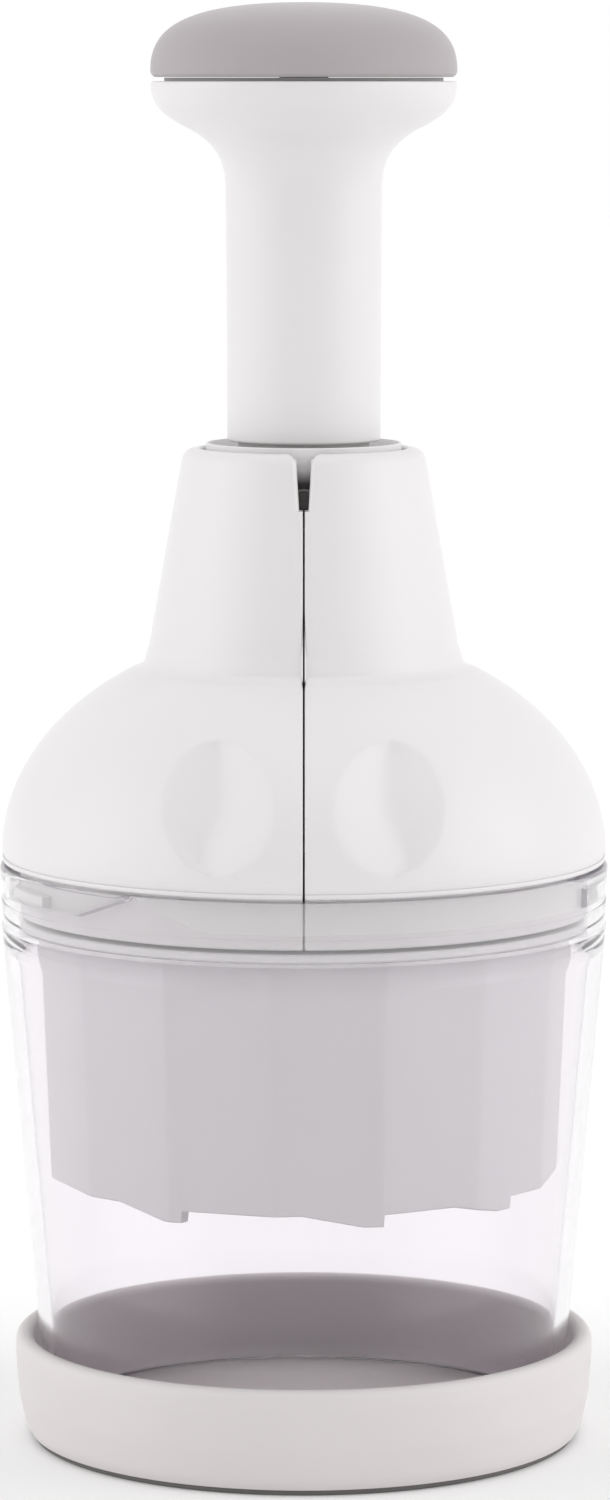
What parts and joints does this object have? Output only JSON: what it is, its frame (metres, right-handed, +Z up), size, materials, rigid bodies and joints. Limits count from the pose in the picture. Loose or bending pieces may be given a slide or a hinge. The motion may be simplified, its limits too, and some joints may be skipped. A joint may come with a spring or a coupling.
{
  "type": "push-top food chopper",
  "caption": "Hand-push food chopper: palm knob on a sprung column, clamshell head, blade guard with turning zigzag blades, clear cup and a removable base tray.",
  "frame": {"origin": "centre of the underside, on the surface that the chopper stands on", "axes": "+Z up along the axis of the column, -Y towards the front seam with its V notch, +X to the right seen from the front"},
  "size_m": [0.1056, 0.1056, 0.249],
  "materials": {
    "tray_white": "fine satin moulded plastic",
    "foot_rubber": "soft matt rubber",
    "clear_cup": "clear polished plastic with a faint lavender tint",
    "guard_white": "satin moulded plastic",
    "inner_grey": "satin moulded plastic",
    "soft_grey": "soft-touch overmoulded grip, matt",
    "steel": "bright zinc-plated steel",
    "shell_white": "soft-gloss white moulded plastic",
    "bush_brass": "turned brass",
    "cast_alloy": "tumbled zinc-aluminium casting",
    "blade_steel": "ground stainless strip"
  },
  "bodies": {
    "tray": {"base_tray": "tray_white", "tray_foot_ring": "foot_rubber"},
    "cup": {"chopping_cup": "clear_cup"},
    "guard": {"blade_guard": "guard_white"},
    "head": {"core_frame": "inner_grey", "stop_ring": "soft_grey", "hinge_pin_front": "steel", "hinge_pin_rear": "steel", "drive_nut": "inner_grey", "follower_pins": "steel", "wave_washer": "steel", "nut_retainer": "inner_grey", "retainer_screws": "steel"},
    "shell_left": {"shell_left": "shell_white"},
    "shell_right": {"shell_right": "shell_white"},
    "handle": {"knob_column": "shell_white", "knob_plate": "inner_grey", "grip_pad": "soft_grey", "shaft_bush": "bush_brass", "return_spring": "steel"},
    "rotor": {"grooved_shaft": "cast_alloy", "shaft_washer": "steel", "shaft_screw": "steel", "blade_carrier": "guard_white", "blade_centre": "blade_steel", "blade_left": "blade_steel", "blade_right": "blade_steel", "hub_screw": "steel"},
    "wiper": {"wiper_plate": "guard_white"}
  },
  "joints": [
    {"name": "cup_lift", "type": "slide", "parent": "tray", "child": "cup", "axis": [0, 0, 1], "range_m": [0, 0.06]},
    {"name": "head_lift", "type": "slide", "parent": "cup", "child": "guard", "axis": [0, 0, 1], "range_m": [0, 0.2]},
    {"name": "head_twist", "type": "hinge", "parent": "guard", "child": "head", "pos_m": [0, 0, 0.1], "axis": [0, 0, 1], "range_deg": [-30, 0]},
    {"name": "press", "type": "slide", "parent": "head", "child": "handle", "axis": [0, 0, -1], "range_m": [0, 0.0512], "stiffness_N_per_m": 300, "springref_m": -0.03, "deforming": ["return_spring"]},
    {"name": "rotor_turn", "type": "hinge", "parent": "handle", "child": "rotor", "pos_m": [0, 0, 0.1], "axis": [0, 0, 1], "range_deg": [0, 45.5]},
    {"name": "wiper_turn", "type": "hinge", "parent": "head", "child": "wiper", "pos_m": [0, 0, 0.055], "axis": [0, 0, 1], "range_deg": [0, 45.5]},
    {"name": "shell_left_open", "type": "hinge", "parent": "head", "child": "shell_left", "pos_m": [0, 0, 0.1635], "axis": [0, 1, 0], "range_deg": [0, 5.1]},
    {"name": "shell_right_open", "type": "hinge", "parent": "head", "child": "shell_right", "pos_m": [0, 0, 0.1635], "axis": [0, -1, 0], "range_deg": [0, 5.1]}
  ],
  "couplings": [
    {"joint": "rotor_turn", "follows": "press", "rad_per_m": 15.34},
    {"joint": "wiper_turn", "follows": "press", "rad_per_m": 15.34},
    {"joint": "shell_left_open", "follows": "head_lift", "rad_per_m": 0.43633},
    {"joint": "shell_right_open", "follows": "head_lift", "rad_per_m": 0.43633}
  ]
}
